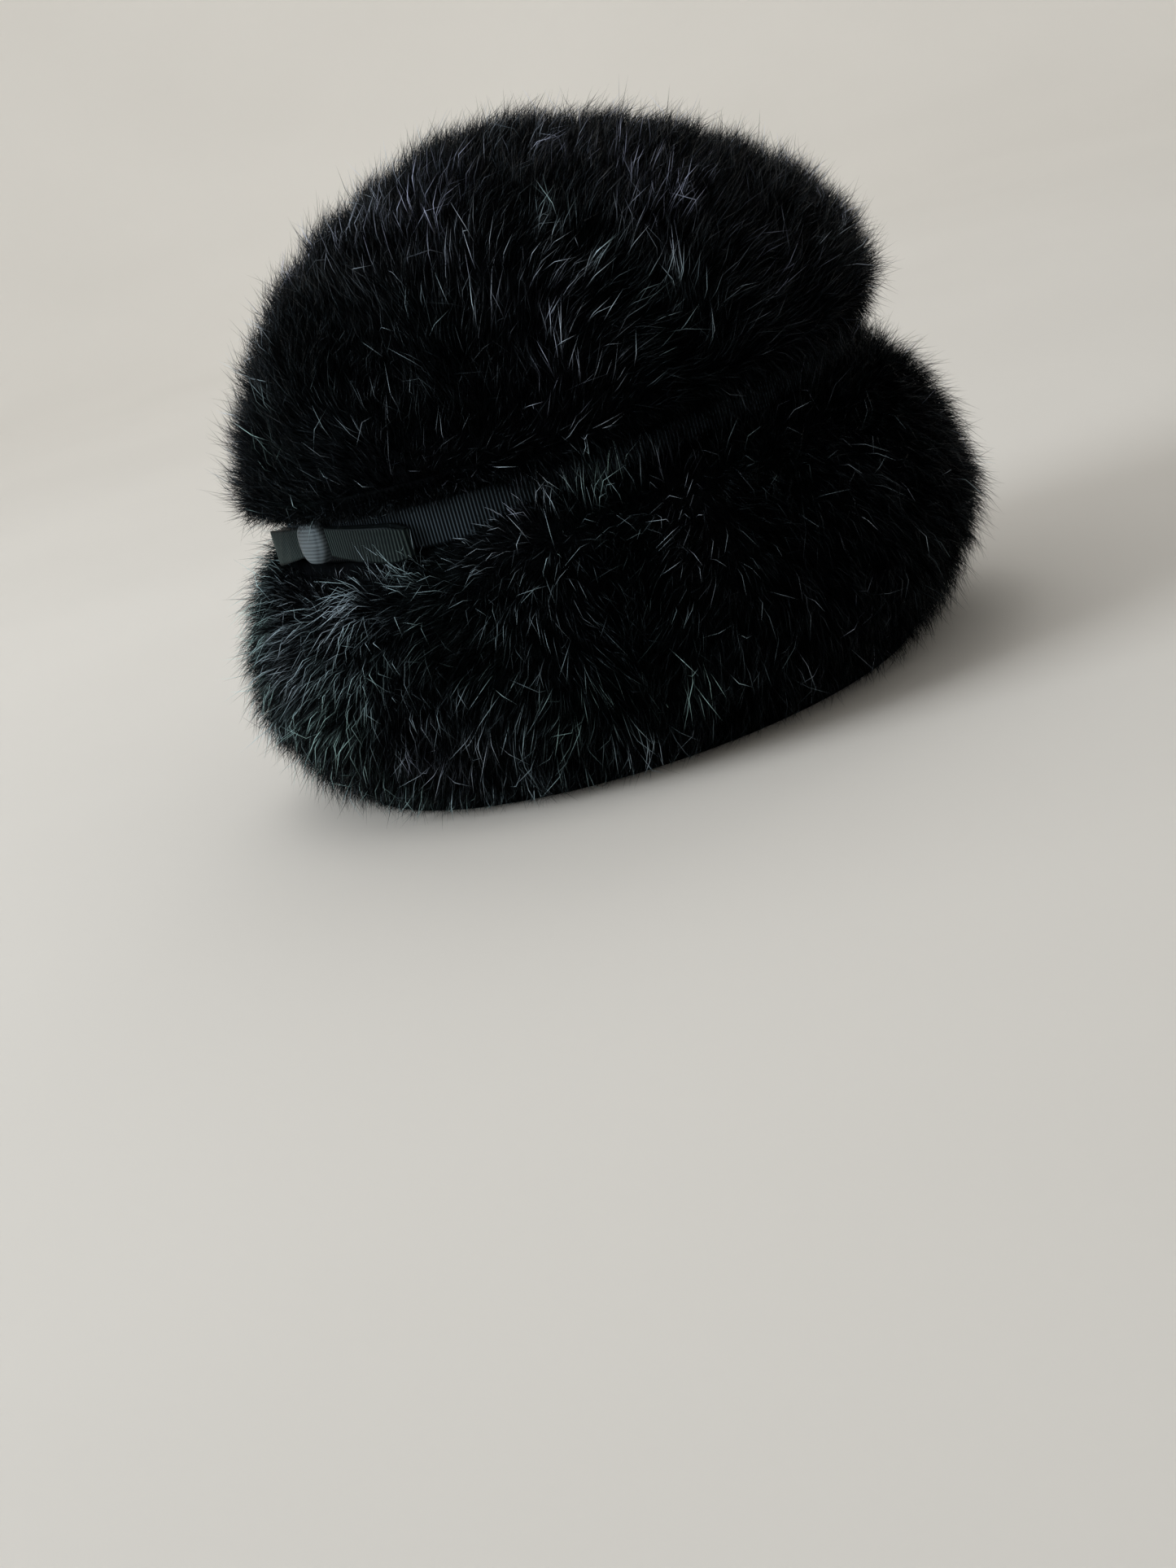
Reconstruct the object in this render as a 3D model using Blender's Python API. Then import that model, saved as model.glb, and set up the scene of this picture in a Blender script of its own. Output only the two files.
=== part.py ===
"""Fur hat: a domed fur crown, a padded fur brim, a ribbed ribbon band in the crease and a flat bow.

Frame: metres, +Z up, the rim on Z = 0. The front of the hat is at -Y, the bow at +Y, and the
hat is a mirror image of itself across X = 0. An angle round the hat is 0 at the front.
Every ring of the hat is an oval a certain stand-off outside the head opening.
"""
import math
from collections import namedtuple

import bpy
import numpy as np

# Head opening and the planes of the hat
HEAD_LENGTH = 0.196
HEAD_WIDTH = 0.166
CREASE_HEIGHT = 0.0955
CREASE_RISE_AT_FRONT = 0.0045
CLEARANCE = 0.0003

# Padded brim
BRIM_STANDOUT = 0.0365
BRIM_STANDOUT_MORE_AT_FRONT = 0.0032
BRIM_BELLY_SHARE = 0.424
RIM_WIDTH = 0.007
SEAT_WIDTH = 0.007
SEAT_DEPTH = 0.006

# Fur crown
CROWN_STANDOUT = 0.021
CROWN_STANDOUT_MORE_AT_FRONT = 0.0017
CROWN_BELLY_RISE = 0.0176
CROWN_BELLY_MORE_AT_FRONT = 0.006
DOME_HEIGHT = 0.0865
APEX_SET_BACK = 0.0056
FUR_CLOTH = 0.014
NECK_WALL = 0.005
NECK_RISE = 0.0095

# Ribbon and bow
RIBBON_THICKNESS = 0.001
BOW_CENTRE_RISE = 0.0025
KNOT_WIDTH = 0.015
KNOT_HEIGHT = 0.0135
KNOT_DEPTH = 0.0065
LOOP_REACH = 0.042
LOOP_WIDTH = 0.012
LOOP_DEPTH = 0.0055
LOOP_MOUTH = 0.0016
LOOP_DROOP = 0.0042
LOOP_LEAN = 0.001
FOLD_ROUNDNESS = 1.5
BOW_SEAT_DEPTH = 0.0105
BOW_SEAT_HALF_ANGLE = math.radians(38)

# Locks of fur
COLUMNS = 80
LOCK_RISE = 0.0034
LOCK_LAP = 0.004
COMB_TO_BACK = 0.1
LOCK_SEED = 7

# The pile's rows from a lock's tip up to its root: where the row lies along the lock, and how
# far the lock's middle and its edges stand up, as shares of the lock's rise.
LockRow = namedtuple("LockRow", "name along middle edge")
LOCK_ROWS = (
    LockRow("tip", 0.00, 1.00, 0.15),
    LockRow("belly", 0.42, 0.85, 0.45),
    LockRow("root", 0.84, 0.05, 0.00),
)

# A quarter turn of a wall: its roundness is 1 for a straight slope, 2 for an ellipse and more
# for a fuller curve; lock_rows is the number of rows of locks on it.
Turn = namedtuple("Turn", "name roundness lock_rows")
BRIM_LOWER = Turn("rim to belly", 1.43, 3)
BRIM_UPPER = Turn("belly to crease", 2.08, 4)
CROWN_UNDER = Turn("neck to belly", 1.6, 1)
CROWN_DOME = Turn("belly to apex", 1.88, 7)
CROWN_INSIDE = Turn("inside of the dome", 2.0, 0)
INSIDE_ROWS = 6

# Tufts and hollows of the crown, the same on both sides: the angle from the front, the height
# as a share of the dome's quarter turn, the swell as a share of the lock's rise (a hollow is
# negative), and the spreads round and up.
Tuft = namedtuple("Tuft", "name angle height swell spread_round spread_up")
CROWN_TUFTS = (
    Tuft("brow tuft", math.radians(38), 0.30, 0.35, math.radians(22), 0.14),
    Tuft("temple hollow", math.radians(72), 0.42, -0.45, math.radians(20), 0.13),
    Tuft("side tuft", math.radians(105), 0.58, 0.40, math.radians(24), 0.13),
    Tuft("back hollow", math.radians(140), 0.36, -0.35, math.radians(18), 0.12),
    Tuft("top tuft", math.radians(60), 0.78, 0.35, math.radians(40), 0.10),
)


def clear_scene():
    """Remove every object of the scene."""
    for item in list(bpy.data.objects):
        bpy.data.objects.remove(item, do_unlink=True)


def make_material(name, colour, roughness):
    """A plain Principled finish."""
    material = bpy.data.materials.new(name)
    material.use_nodes = True
    shader = material.node_tree.nodes["Principled BSDF"]
    shader.inputs["Base Color"].default_value = (*colour, 1.0)
    shader.inputs["Roughness"].default_value = roughness
    shader.inputs["Metallic"].default_value = 0.0
    return material


def oval(angle, standoff, height):
    """The point at an angle round the hat, a stand-off outside the head opening, at a height."""
    x = (HEAD_WIDTH / 2 + standoff) * np.sin(angle)
    y = BRIM_STANDOUT_MORE_AT_FRONT - (HEAD_LENGTH / 2 + standoff) * np.cos(angle)
    return np.stack(np.broadcast_arrays(x, y, height), axis=-1)


def column_angles():
    """The angles of the grid's columns, from the front round by the wearer's left."""
    return np.arange(COLUMNS) * 2 * np.pi / COLUMNS


def combed(angle, share_down):
    """An angle moved towards the back as the pile runs down, the same way on both sides."""
    return angle + COMB_TO_BACK * share_down * np.sin(angle)


def crease_height(angle):
    """The crease stands a little higher at the front."""
    return CREASE_HEIGHT + CREASE_RISE_AT_FRONT * np.cos(angle)


def pressed_by_bow(angle):
    """1 under the bow, falling to 0 beside it."""
    from_back = np.abs(np.angle(np.exp(1j * (angle - np.pi))))
    return np.exp(-(from_back / BOW_SEAT_HALF_ANGLE) ** 6)


def brim_standout(angle):
    return BRIM_STANDOUT + BRIM_STANDOUT_MORE_AT_FRONT * np.cos(angle)


def crown_standout(angle):
    return CROWN_STANDOUT + CROWN_STANDOUT_MORE_AT_FRONT * np.cos(angle)


def crown_belly_height(angle):
    rise = CROWN_BELLY_RISE + CROWN_BELLY_MORE_AT_FRONT * np.cos(angle)
    return crease_height(angle) + rise


def quarter(turn, share, level_start):
    """How far across and up a quarter turn has come, 0 to 1 each, at a share of its length."""
    power = 2 / turn.roundness
    swing = share * np.pi / 2
    sine = np.sin(swing) ** power
    cosine = np.cos(swing) ** power
    if level_start:
        return sine, 1 - cosine
    return 1 - cosine, sine


def lock_shares(turn):
    """The shares of a turn at which its rows of locks have their rows of points."""
    starts = np.arange(turn.lock_rows)[:, None]
    along = np.array([row.along for row in LOCK_ROWS])[None, :]
    return ((starts + along) / turn.lock_rows).ravel()


def lock_heights(lock_rows, luck):
    """How far each point of the locks stands up, and how far it laps over the row below.

    Neighbouring rows of locks are staggered by half a lock. Each lock has its own luck, read
    by its distance from the front, so that both sides of the hat are alike.
    """
    column = np.arange(COLUMNS)
    from_front = np.minimum(column, COLUMNS - column)
    heights = []
    laps = []
    for row in range(lock_rows):
        is_middle = (column + row) % 2 == 0
        fullness = 0.7 + 0.6 * luck[row, from_front]
        for level in LOCK_ROWS:
            heights.append(np.where(is_middle, level.middle, level.edge) * fullness)
            is_tip = level.name == "tip"
            laps.append(np.where(is_middle, 1.0, -0.5) * fullness * is_tip)
    return np.array(heights), np.array(laps)


def surface_normals(points):
    """The outward unit normals of a grid of points whose columns close on themselves."""
    along = np.gradient(points, axis=0)
    ahead = np.roll(points, -1, axis=1)
    behind = np.roll(points, 1, axis=1)
    normal = np.cross(ahead - behind, along)
    return normal / np.linalg.norm(normal, axis=-1, keepdims=True)


def unit_along(points):
    """The unit direction from row to row of a grid."""
    along = np.gradient(points, axis=0)
    return along / np.linalg.norm(along, axis=-1, keepdims=True)


def add_locks(points, heights, laps, fade):
    """Raise the locks on a wall, less the half by which they thicken it, and lap their tips."""
    normal = surface_normals(points)
    rise = LOCK_RISE * fade * (heights - 0.5)
    lap = LOCK_LAP * fade * laps
    return points + normal * rise[..., None] - unit_along(points) * lap[..., None]


def brim_outside():
    """The brim's fur from the rim's outer edge over the belly to the crease, row by row."""
    lower = lock_shares(BRIM_LOWER)
    upper = np.append(lock_shares(BRIM_UPPER), 1.0)
    rows = len(lower) + len(upper)
    share_down = 1 - np.arange(rows) / (rows - 1)
    angle = combed(column_angles()[None, :], share_down[:, None])
    low_angle = angle[:len(lower)]
    high_angle = angle[len(lower):]
    belly = BRIM_BELLY_SHARE * crease_height(angle)
    across, up = quarter(BRIM_LOWER, lower[:, None], True)
    low_standoff = RIM_WIDTH + (brim_standout(low_angle) - RIM_WIDTH) * across
    low = oval(low_angle, low_standoff, belly[:len(lower)] * up)
    crest = crease_height(high_angle) - BOW_SEAT_DEPTH * pressed_by_bow(high_angle)
    across, up = quarter(BRIM_UPPER, upper[:, None], False)
    high_belly = belly[len(lower):]
    high_standoff = brim_standout(high_angle) + (SEAT_WIDTH - brim_standout(high_angle)) * across
    high = oval(high_angle, high_standoff, high_belly + (crest - high_belly) * up)
    return np.concatenate([low, high])


def brim_fur(luck):
    """The brim's outside with its locks, which fade out at the rim and at the crease."""
    points = brim_outside()
    heights, laps = lock_heights(BRIM_LOWER.lock_rows + BRIM_UPPER.lock_rows, luck)
    bare_row = np.zeros((1, COLUMNS))
    heights = np.concatenate([heights, bare_row])
    laps = np.concatenate([laps, bare_row])
    share = np.linspace(0, 1, len(points))[:, None]
    fade = np.clip(share / 0.12, 0, 1) * np.clip((1 - share) / 0.2, 0, 1)
    return add_locks(points, heights, laps, fade)


def make_brim(material, luck):
    """The padded roll: a ring whose section is the fur, the crown's seat, the wall and the rim."""
    angle = column_angles()
    seat = crease_height(angle) - SEAT_DEPTH
    rings = [oval(angle, SEAT_WIDTH, seat), oval(angle, 0.0, seat)]
    rings += [oval(angle, 0.0, seat * share) for share in (0.66, 0.33, 0.0)]
    section = np.concatenate([brim_fur(luck), np.array(rings)])
    return make_ring("brim", section, material)


def crown_point(angle, scale, height):
    """A point of the dome: the belly's oval scaled towards an apex that is set back."""
    point = oval(angle, crown_standout(angle), height)
    centre = np.array([0.0, BRIM_STANDOUT_MORE_AT_FRONT, 0.0])
    scaled = centre + (point - centre) * np.stack([scale, scale, np.ones_like(scale)], axis=-1)
    scaled[..., 1] += APEX_SET_BACK * (1 - scale)
    return scaled


def apex_height():
    return CREASE_HEIGHT + CROWN_BELLY_RISE + DOME_HEIGHT


def crown_outside():
    """The crown's fur from the top of its neck under the belly and over the dome, row by row."""
    under = lock_shares(CROWN_UNDER)
    dome = lock_shares(CROWN_DOME)
    rows = len(under) + len(dome)
    share_down = 1 - np.arange(rows) / rows
    angle = combed(column_angles()[None, :], share_down[:, None])
    under_angle = angle[:len(under)]
    dome_angle = angle[len(under):]
    neck_top = crease_height(under_angle) + NECK_RISE
    across, up = quarter(CROWN_UNDER, under[:, None], True)
    standoff = NECK_WALL + (crown_standout(under_angle) - NECK_WALL) * across
    low = oval(under_angle, standoff, neck_top + (crown_belly_height(under_angle) - neck_top) * up)
    inward, up = quarter(CROWN_DOME, dome[:, None], False)
    belly = crown_belly_height(dome_angle)
    height = belly + (apex_height() - belly) * up
    high = crown_point(dome_angle, np.broadcast_to(1 - inward, dome_angle.shape), height)
    return np.concatenate([low, high])


def tuft_swell(angle, share):
    """The sum of the crown's tufts and hollows, each a smooth mound."""
    total = np.zeros(np.broadcast(angle, share).shape)
    side_angle = np.abs(np.angle(np.exp(1j * angle)))
    for tuft in CROWN_TUFTS:
        round_part = (side_angle - tuft.angle) / tuft.spread_round
        up_part = (share - tuft.height) / tuft.spread_up
        total += tuft.swell * np.exp(-round_part ** 2 - up_part ** 2)
    return total


def crown_fur(luck):
    """The crown's outside with its locks, which fade out at the neck and near the apex."""
    points = crown_outside()
    heights, laps = lock_heights(CROWN_UNDER.lock_rows + CROWN_DOME.lock_rows, luck)
    share = (np.arange(len(points)) / len(points))[:, None]
    swell = tuft_swell(column_angles()[None, :], share)
    fade = np.clip((share - 0.06) / 0.12, 0, 1) * np.clip((1 - share) / 0.3, 0.15, 1)
    return add_locks(points, heights + swell, laps, fade)


def crown_inside():
    """The backing: up the neck, out behind the belly and over, a fur cloth's thickness inside."""
    angle = column_angles()
    foot = crease_height(angle) - SEAT_DEPTH + CLEARANCE
    neck_top = crease_height(angle) + NECK_RISE
    rings = [oval(angle, 0.0, foot), oval(angle, 0.0, neck_top)]
    belly = crown_belly_height(angle)
    top = apex_height() - FUR_CLOTH
    wide = HEAD_WIDTH / 2 + crown_standout(angle)
    for share in np.arange(INSIDE_ROWS) / INSIDE_ROWS:
        inward, up = quarter(CROWN_INSIDE, share, False)
        scale = (1 - FUR_CLOTH / wide) * (1 - inward)
        rings.append(crown_point(angle, scale, belly + (top - belly) * up))
    pole = crown_point(np.zeros(1), np.zeros(1), np.full(1, top))[0]
    return rings, pole


def make_crown(material, luck):
    """The crown: one shell of fur and backing, joined along the foot of its neck."""
    angle = column_angles()
    foot = oval(angle, NECK_WALL, crease_height(angle) - SEAT_DEPTH + CLEARANCE)
    outer_pole = crown_point(np.zeros(1), np.zeros(1), np.full(1, apex_height()))[0]
    inner, inner_pole = crown_inside()
    rings = np.concatenate([np.array(inner[::-1]), foot[None], crown_fur(luck)])
    return make_capped("crown", rings, inner_pole, outer_pole, material)


def make_ribbon_band(material):
    """The ribbon stands on the brim's seat, close round the crown's neck."""
    angle = column_angles()
    inner = NECK_WALL + CLEARANCE
    outer = inner + RIBBON_THICKNESS
    bottom = crease_height(angle) - SEAT_DEPTH + CLEARANCE
    top = crease_height(angle) + NECK_RISE
    corners = ((outer, bottom), (outer, top), (inner, top), (inner, bottom))
    section = np.array([oval(angle, standoff, height) for standoff, height in corners])
    return make_ring("ribbon_band", section, material)


def bow_point(along, standoff, rise):
    """A point of the bow: along the band from the middle of the back, outwards and up."""
    back_radius = (HEAD_LENGTH + HEAD_WIDTH) / 4 + NECK_WALL
    angle = np.pi + along / back_radius
    return oval(angle, standoff, crease_height(angle) + BOW_CENTRE_RISE + rise)


def bow_back():
    """The stand-off of the bow's back, just clear of the band."""
    return NECK_WALL + 2 * CLEARANCE + RIBBON_THICKNESS


def rounded(value, power):
    """A cosine or sine pulled towards a box."""
    return np.sign(value) * np.abs(value) ** power


def make_bow_knot(material):
    """The knot: a rounded block, drawn in at its top and bottom where the ribbon folds round."""
    turn = np.arange(14)[None, :] * 2 * np.pi / 14
    lift = (np.arange(1, 10)[:, None] / 10 - 0.5) * np.pi
    flat = rounded(np.cos(lift), 0.5)
    pinch = 1 - 0.18 * np.sin(lift) ** 2
    along = KNOT_WIDTH / 2 * rounded(np.cos(turn), 0.6) * flat * pinch
    middle = bow_back() + KNOT_DEPTH / 2
    standoff = middle + KNOT_DEPTH / 2 * rounded(np.sin(turn), 0.75) * flat
    rise = KNOT_HEIGHT / 2 * rounded(np.sin(lift), 0.8) * np.ones_like(turn)
    rings = bow_point(along, standoff, rise)[:, ::-1]
    low = bow_point(0.0, middle, -KNOT_HEIGHT / 2)
    high = bow_point(0.0, middle, KNOT_HEIGHT / 2)
    return make_capped("bow_knot", rings, low, high, material)


def loop_path():
    """The ribbon's way round a loop: out along the band, round the fold, and back outside.

    Returns the distance from the knot, the stand-off and the droop of each station. The two
    layers start a small mouth apart at the knot, swell, and meet in the rounded fold.
    """
    swing = np.linspace(0, 2 * np.pi, 41)
    reach = 1 - ((1 + np.cos(swing)) / 2) ** FOLD_ROUNDNESS
    side = np.where(swing < np.pi, -1.0, 1.0)
    mouth = LOOP_MOUTH / 2 * (1 - reach) * side
    belly = -(LOOP_DEPTH - RIBBON_THICKNESS) / 2 * np.sin(swing) * reach ** 0.7
    start = KNOT_WIDTH / 2 + CLEARANCE
    middle = bow_back() + LOOP_DEPTH / 2
    along = start + (LOOP_REACH - start - RIBBON_THICKNESS / 2) * reach
    return along, middle + mouth + belly + LOOP_LEAN * reach, LOOP_DROOP * reach


def make_bow_loop(name, side, material):
    """One loop: a flat ribbon carried along the loop's path, narrower where the knot holds it."""
    along, standoff, droop = loop_path()
    step_along = np.gradient(along)
    step_out = np.gradient(standoff)
    length = np.hypot(step_along, step_out)
    half_thick = RIBBON_THICKNESS / 2
    reach = (along - along.min()) / (along.max() - along.min())
    half_width = LOOP_WIDTH / 2 * (0.78 + 0.22 * np.sin(reach * np.pi / 2))
    corners = []
    for face, edge in ((1, -1), (1, 1), (-1, 1), (-1, -1)):
        corner_along = along + face * half_thick * step_out / length
        corner_out = standoff - face * half_thick * step_along / length
        corners.append(bow_point(side * corner_along, corner_out, edge * half_width - droop))
    stations = np.array(corners).transpose(1, 0, 2)
    if side < 0:
        stations = stations[:, ::-1]
    return make_strip(name, stations, material)


def grid_faces(rows, columns, closed_rows):
    """The quads of a grid whose columns close on themselves, and its rows too if asked."""
    row, column = np.meshgrid(np.arange(rows if closed_rows else rows - 1), np.arange(columns),
                              indexing="ij")
    above = (row + 1) % rows
    beside = (column + 1) % columns
    quads = np.stack([row * columns + column, row * columns + beside,
                      above * columns + beside, above * columns + column], axis=-1)
    return quads.reshape(-1, 4).tolist()


def make_object(name, points, faces, material):
    """A smooth-shaded object from points and faces."""
    mesh = bpy.data.meshes.new(name)
    mesh.from_pydata(points.tolist(), [], faces)
    mesh.materials.append(material)
    mesh.shade_smooth()
    mesh.set_sharp_from_angle(angle=math.radians(50))
    item = bpy.data.objects.new(name, mesh)
    bpy.context.collection.objects.link(item)
    return item


def make_ring(name, section, material):
    """A closed ring: each row of points runs round the hat, and the rows close on themselves."""
    rows, columns = section.shape[:2]
    faces = grid_faces(rows, columns, True)
    return make_object(name, section.reshape(-1, 3), faces, material)


def make_capped(name, rings, first_pole, last_pole, material):
    """A closed body: rings of points with a pole below the first and above the last."""
    rows, columns = rings.shape[:2]
    faces = grid_faces(rows, columns, False)
    first = rows * columns
    last = first + 1
    top = (rows - 1) * columns
    for column in range(columns):
        beside = (column + 1) % columns
        faces.append([beside, column, first])
        faces.append([top + column, top + beside, last])
    points = np.concatenate([rings.reshape(-1, 3), first_pole[None], last_pole[None]])
    return make_object(name, points, faces, material)


def make_strip(name, stations, material):
    """A closed strip: stations of corner points, with a face across each end."""
    rows, columns = stations.shape[:2]
    faces = grid_faces(rows, columns, False)
    faces.append(list(range(columns))[::-1])
    faces.append([(rows - 1) * columns + column for column in range(columns)])
    return make_object(name, stations.reshape(-1, 3), faces, material)


def build():
    clear_scene()
    fur = make_material("black_fur", (0.007, 0.008, 0.010), 0.6)
    ribbon = make_material("black_ribbon", (0.012, 0.014, 0.018), 0.45)
    rows = max(BRIM_LOWER.lock_rows + BRIM_UPPER.lock_rows,
               CROWN_UNDER.lock_rows + CROWN_DOME.lock_rows)
    luck = np.random.default_rng(LOCK_SEED).random((rows, COLUMNS // 2 + 1))
    pieces = [
        make_brim(fur, luck),
        make_crown(fur, luck[::-1]),
        make_ribbon_band(ribbon),
        make_bow_knot(ribbon),
        make_bow_loop("bow_loop_right", 1, ribbon),
        make_bow_loop("bow_loop_left", -1, ribbon),
    ]
    hat = bpy.data.objects.new("fur_hat", None)
    bpy.context.collection.objects.link(hat)
    for piece in pieces:
        piece.parent = hat


build()
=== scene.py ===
# %% [markdown]
# A fur hat, dressed piece by piece.
#
# The hat is a domed crown of long-pile fur cloth, a thick padded brim of the same fur, a ribbed
# ribbon in the crease between them, and a flat bow at the back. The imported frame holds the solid
# pieces at their real size. This script gives each of them its finish: fine pelts, the hair of
# the pile as real strands, and a ribbon whose ribs are modelled.

# %% Load the frame
import math
from collections import namedtuple

import bpy
import numpy as np
from mathutils import Matrix, Vector


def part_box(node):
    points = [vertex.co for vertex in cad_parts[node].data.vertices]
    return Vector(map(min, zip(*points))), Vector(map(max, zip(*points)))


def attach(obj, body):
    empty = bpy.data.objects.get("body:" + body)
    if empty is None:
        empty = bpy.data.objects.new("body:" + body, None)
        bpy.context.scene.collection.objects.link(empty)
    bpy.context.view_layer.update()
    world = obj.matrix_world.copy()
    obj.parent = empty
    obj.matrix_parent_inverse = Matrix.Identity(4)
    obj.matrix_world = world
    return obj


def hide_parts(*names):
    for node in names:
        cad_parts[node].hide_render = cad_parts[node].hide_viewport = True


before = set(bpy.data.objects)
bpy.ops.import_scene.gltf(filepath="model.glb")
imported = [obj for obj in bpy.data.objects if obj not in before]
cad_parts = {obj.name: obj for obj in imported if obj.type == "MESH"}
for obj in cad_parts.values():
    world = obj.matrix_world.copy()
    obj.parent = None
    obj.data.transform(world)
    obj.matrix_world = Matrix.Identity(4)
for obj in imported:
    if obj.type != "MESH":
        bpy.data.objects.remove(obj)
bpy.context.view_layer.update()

print("nodes:", sorted(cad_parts))

# %% [markdown]
# Every ring of the hat is an oval, a certain stand-off outside the head opening. The front of
# the hat is at -Y, and an angle round the hat is 0 there. These are the hat's real sizes in
# metres, the same as in the frame, so each new piece lies where the solid one does.

# %% Sizes of the hat
HEAD_HALF_LENGTH = 0.098
HEAD_HALF_WIDTH = 0.083
FRONT_MORE = 0.0032
CREASE_HEIGHT = 0.0955
CREASE_RISE_AT_FRONT = 0.0045
CLEARANCE = 0.0003
BRIM_STANDOUT = 0.0365
BRIM_BELLY_SHARE = 0.424
RIM_WIDTH = 0.007
SEAT_WIDTH = 0.007
SEAT_DEPTH = 0.006
CROWN_STANDOUT = 0.021
CROWN_FRONT_MORE = 0.0017
CROWN_BELLY_RISE = 0.0176
CROWN_BELLY_MORE_AT_FRONT = 0.006
DOME_HEIGHT = 0.0865
APEX_SET_BACK = 0.0056
APEX_HEIGHT = CREASE_HEIGHT + CROWN_BELLY_RISE + DOME_HEIGHT
FUR_CLOTH = 0.014
NECK_WALL = 0.005
NECK_RADIUS = (HEAD_HALF_LENGTH + HEAD_HALF_WIDTH) / 2 + NECK_WALL
NECK_RISE = 0.0095
RIBBON_THICKNESS = 0.001
BOW_SEAT_DEPTH = 0.0105
BOW_SEAT_HALF_ANGLE = math.radians(38)
BOW_SEAT_SHARPNESS = 6
COMB_TO_BACK = 0.1


def full_turn(count):
    """Equal angles once round."""
    return np.arange(count) * 2 * np.pi / count


def oval(angle, standoff, height):
    """x = (half width + stand-off) sin(angle), y = shift - (half length + stand-off) cos(angle)."""
    x = (HEAD_HALF_WIDTH + standoff) * np.sin(angle)
    y = FRONT_MORE - (HEAD_HALF_LENGTH + standoff) * np.cos(angle)
    return np.stack(np.broadcast_arrays(x, y, height), axis=-1)


def crease_height(angle):
    """The crease's height: a little more at the front, by the cosine of the angle."""
    return CREASE_HEIGHT + CREASE_RISE_AT_FRONT * np.cos(angle)


def quarter(roundness, share, level_start):
    """A superellipse's quarter: sin and cos of the swing to the power 2 / roundness."""
    power = 2 / roundness
    swing = np.clip(share, 0, 1) * np.pi / 2
    sine = np.sin(swing) ** power
    cosine = np.cos(swing) ** power
    return (sine, 1 - cosine) if level_start else (1 - cosine, sine)


def from_front(angle):
    """The angle from the middle of the front, without its sign."""
    return np.abs(np.angle(np.exp(1j * angle)))


def from_back(angle):
    """The angle from the middle of the back, without its sign."""
    return from_front(angle - np.pi)


brim_low, brim_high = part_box("brim")
crown_low, crown_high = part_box("crown")
print("brim, mm:", [round(1000 * v, 1) for v in (*brim_low, *brim_high)])
print("crown, mm:", [round(1000 * v, 1) for v in (*crown_low, *crown_high)])

# %% [markdown]
# The brim and the crown are each one surface of two parameters: the angle round the hat, and a
# share that runs up the wall, from rim to crease on the brim and from neck to apex on the crown.
# The pile is combed a little towards the back as it runs down, so the columns lean that way.

# %% The two fur surfaces
BRIM_LOWER_SHARE = 3 / 7
BRIM_ROUNDNESS = (1.43, 2.08)
CROWN_UNDER_SHARE = 1 / 8
CROWN_ROUNDNESS = (1.6, 1.88)


def two_turns(share, split, roundness):
    """A section's quarter turns: (out, up) below the split, then (in, up) above it."""
    upper = (share - split) / (1 - split)
    return quarter(roundness[0], share / split, True), quarter(roundness[1], upper, False)


def brim_form(angle, share):
    """Two quarter turns: out from the rim to the belly, then up and in to the crease."""
    angle = angle + COMB_TO_BACK * (1 - share) * np.sin(angle)
    standout = BRIM_STANDOUT + FRONT_MORE * np.cos(angle)
    belly = BRIM_BELLY_SHARE * crease_height(angle)
    pressed = np.exp(-(from_back(angle) / BOW_SEAT_HALF_ANGLE) ** BOW_SEAT_SHARPNESS)
    crest = crease_height(angle) - BOW_SEAT_DEPTH * pressed
    (out_low, up_low), (inward, up) = two_turns(share, BRIM_LOWER_SHARE, BRIM_ROUNDNESS)
    low = oval(angle, RIM_WIDTH + (standout - RIM_WIDTH) * out_low, belly * up_low)
    high = oval(angle, standout + (SEAT_WIDTH - standout) * inward, belly + (crest - belly) * up)
    return np.where((share < BRIM_LOWER_SHARE)[..., None], low, high)


def dome_point(angle, scale, height):
    """The belly's oval scaled about its middle, and moved back as it shrinks to the apex."""
    point = oval(angle, CROWN_STANDOUT + CROWN_FRONT_MORE * np.cos(angle), height)
    x = point[..., 0] * scale
    y = FRONT_MORE + (point[..., 1] - FRONT_MORE) * scale + APEX_SET_BACK * (1 - scale)
    return np.stack([x, y, point[..., 2]], axis=-1)


def crown_belly_height(angle):
    """The height at which the crown is widest, more at the front."""
    return crease_height(angle) + CROWN_BELLY_RISE + CROWN_BELLY_MORE_AT_FRONT * np.cos(angle)


def crown_form(angle, share):
    """Two quarter turns: out from the neck to the belly, then up and in to the apex."""
    angle = angle + COMB_TO_BACK * (1 - share) * np.sin(angle)
    standout = CROWN_STANDOUT + CROWN_FRONT_MORE * np.cos(angle)
    belly = crown_belly_height(angle)
    neck_top = crease_height(angle) + NECK_RISE
    (out_low, up_low), (inward, up) = two_turns(share, CROWN_UNDER_SHARE, CROWN_ROUNDNESS)
    low = oval(angle, NECK_WALL + (standout - NECK_WALL) * out_low,
               neck_top + (belly - neck_top) * up_low)
    high = dome_point(angle, 1 - inward, belly + (APEX_HEIGHT - belly) * up)
    return np.where((share < CROWN_UNDER_SHARE)[..., None], low, high)


# %% [markdown]
# The pile lies in locks: rows of overlapping tufts whose tips point down, staggered by half a
# lock from row to row. The relief is a height over the smooth form. Along a lock it is highest
# at the tip and falls to the root, where the next row's tips lie over it. Across a lock it is
# highest in the middle. Each lock has its own fullness, drawn from a seeded generator. On the
# crown, broader tufts and hollows are added, as in all long fur.

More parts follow.
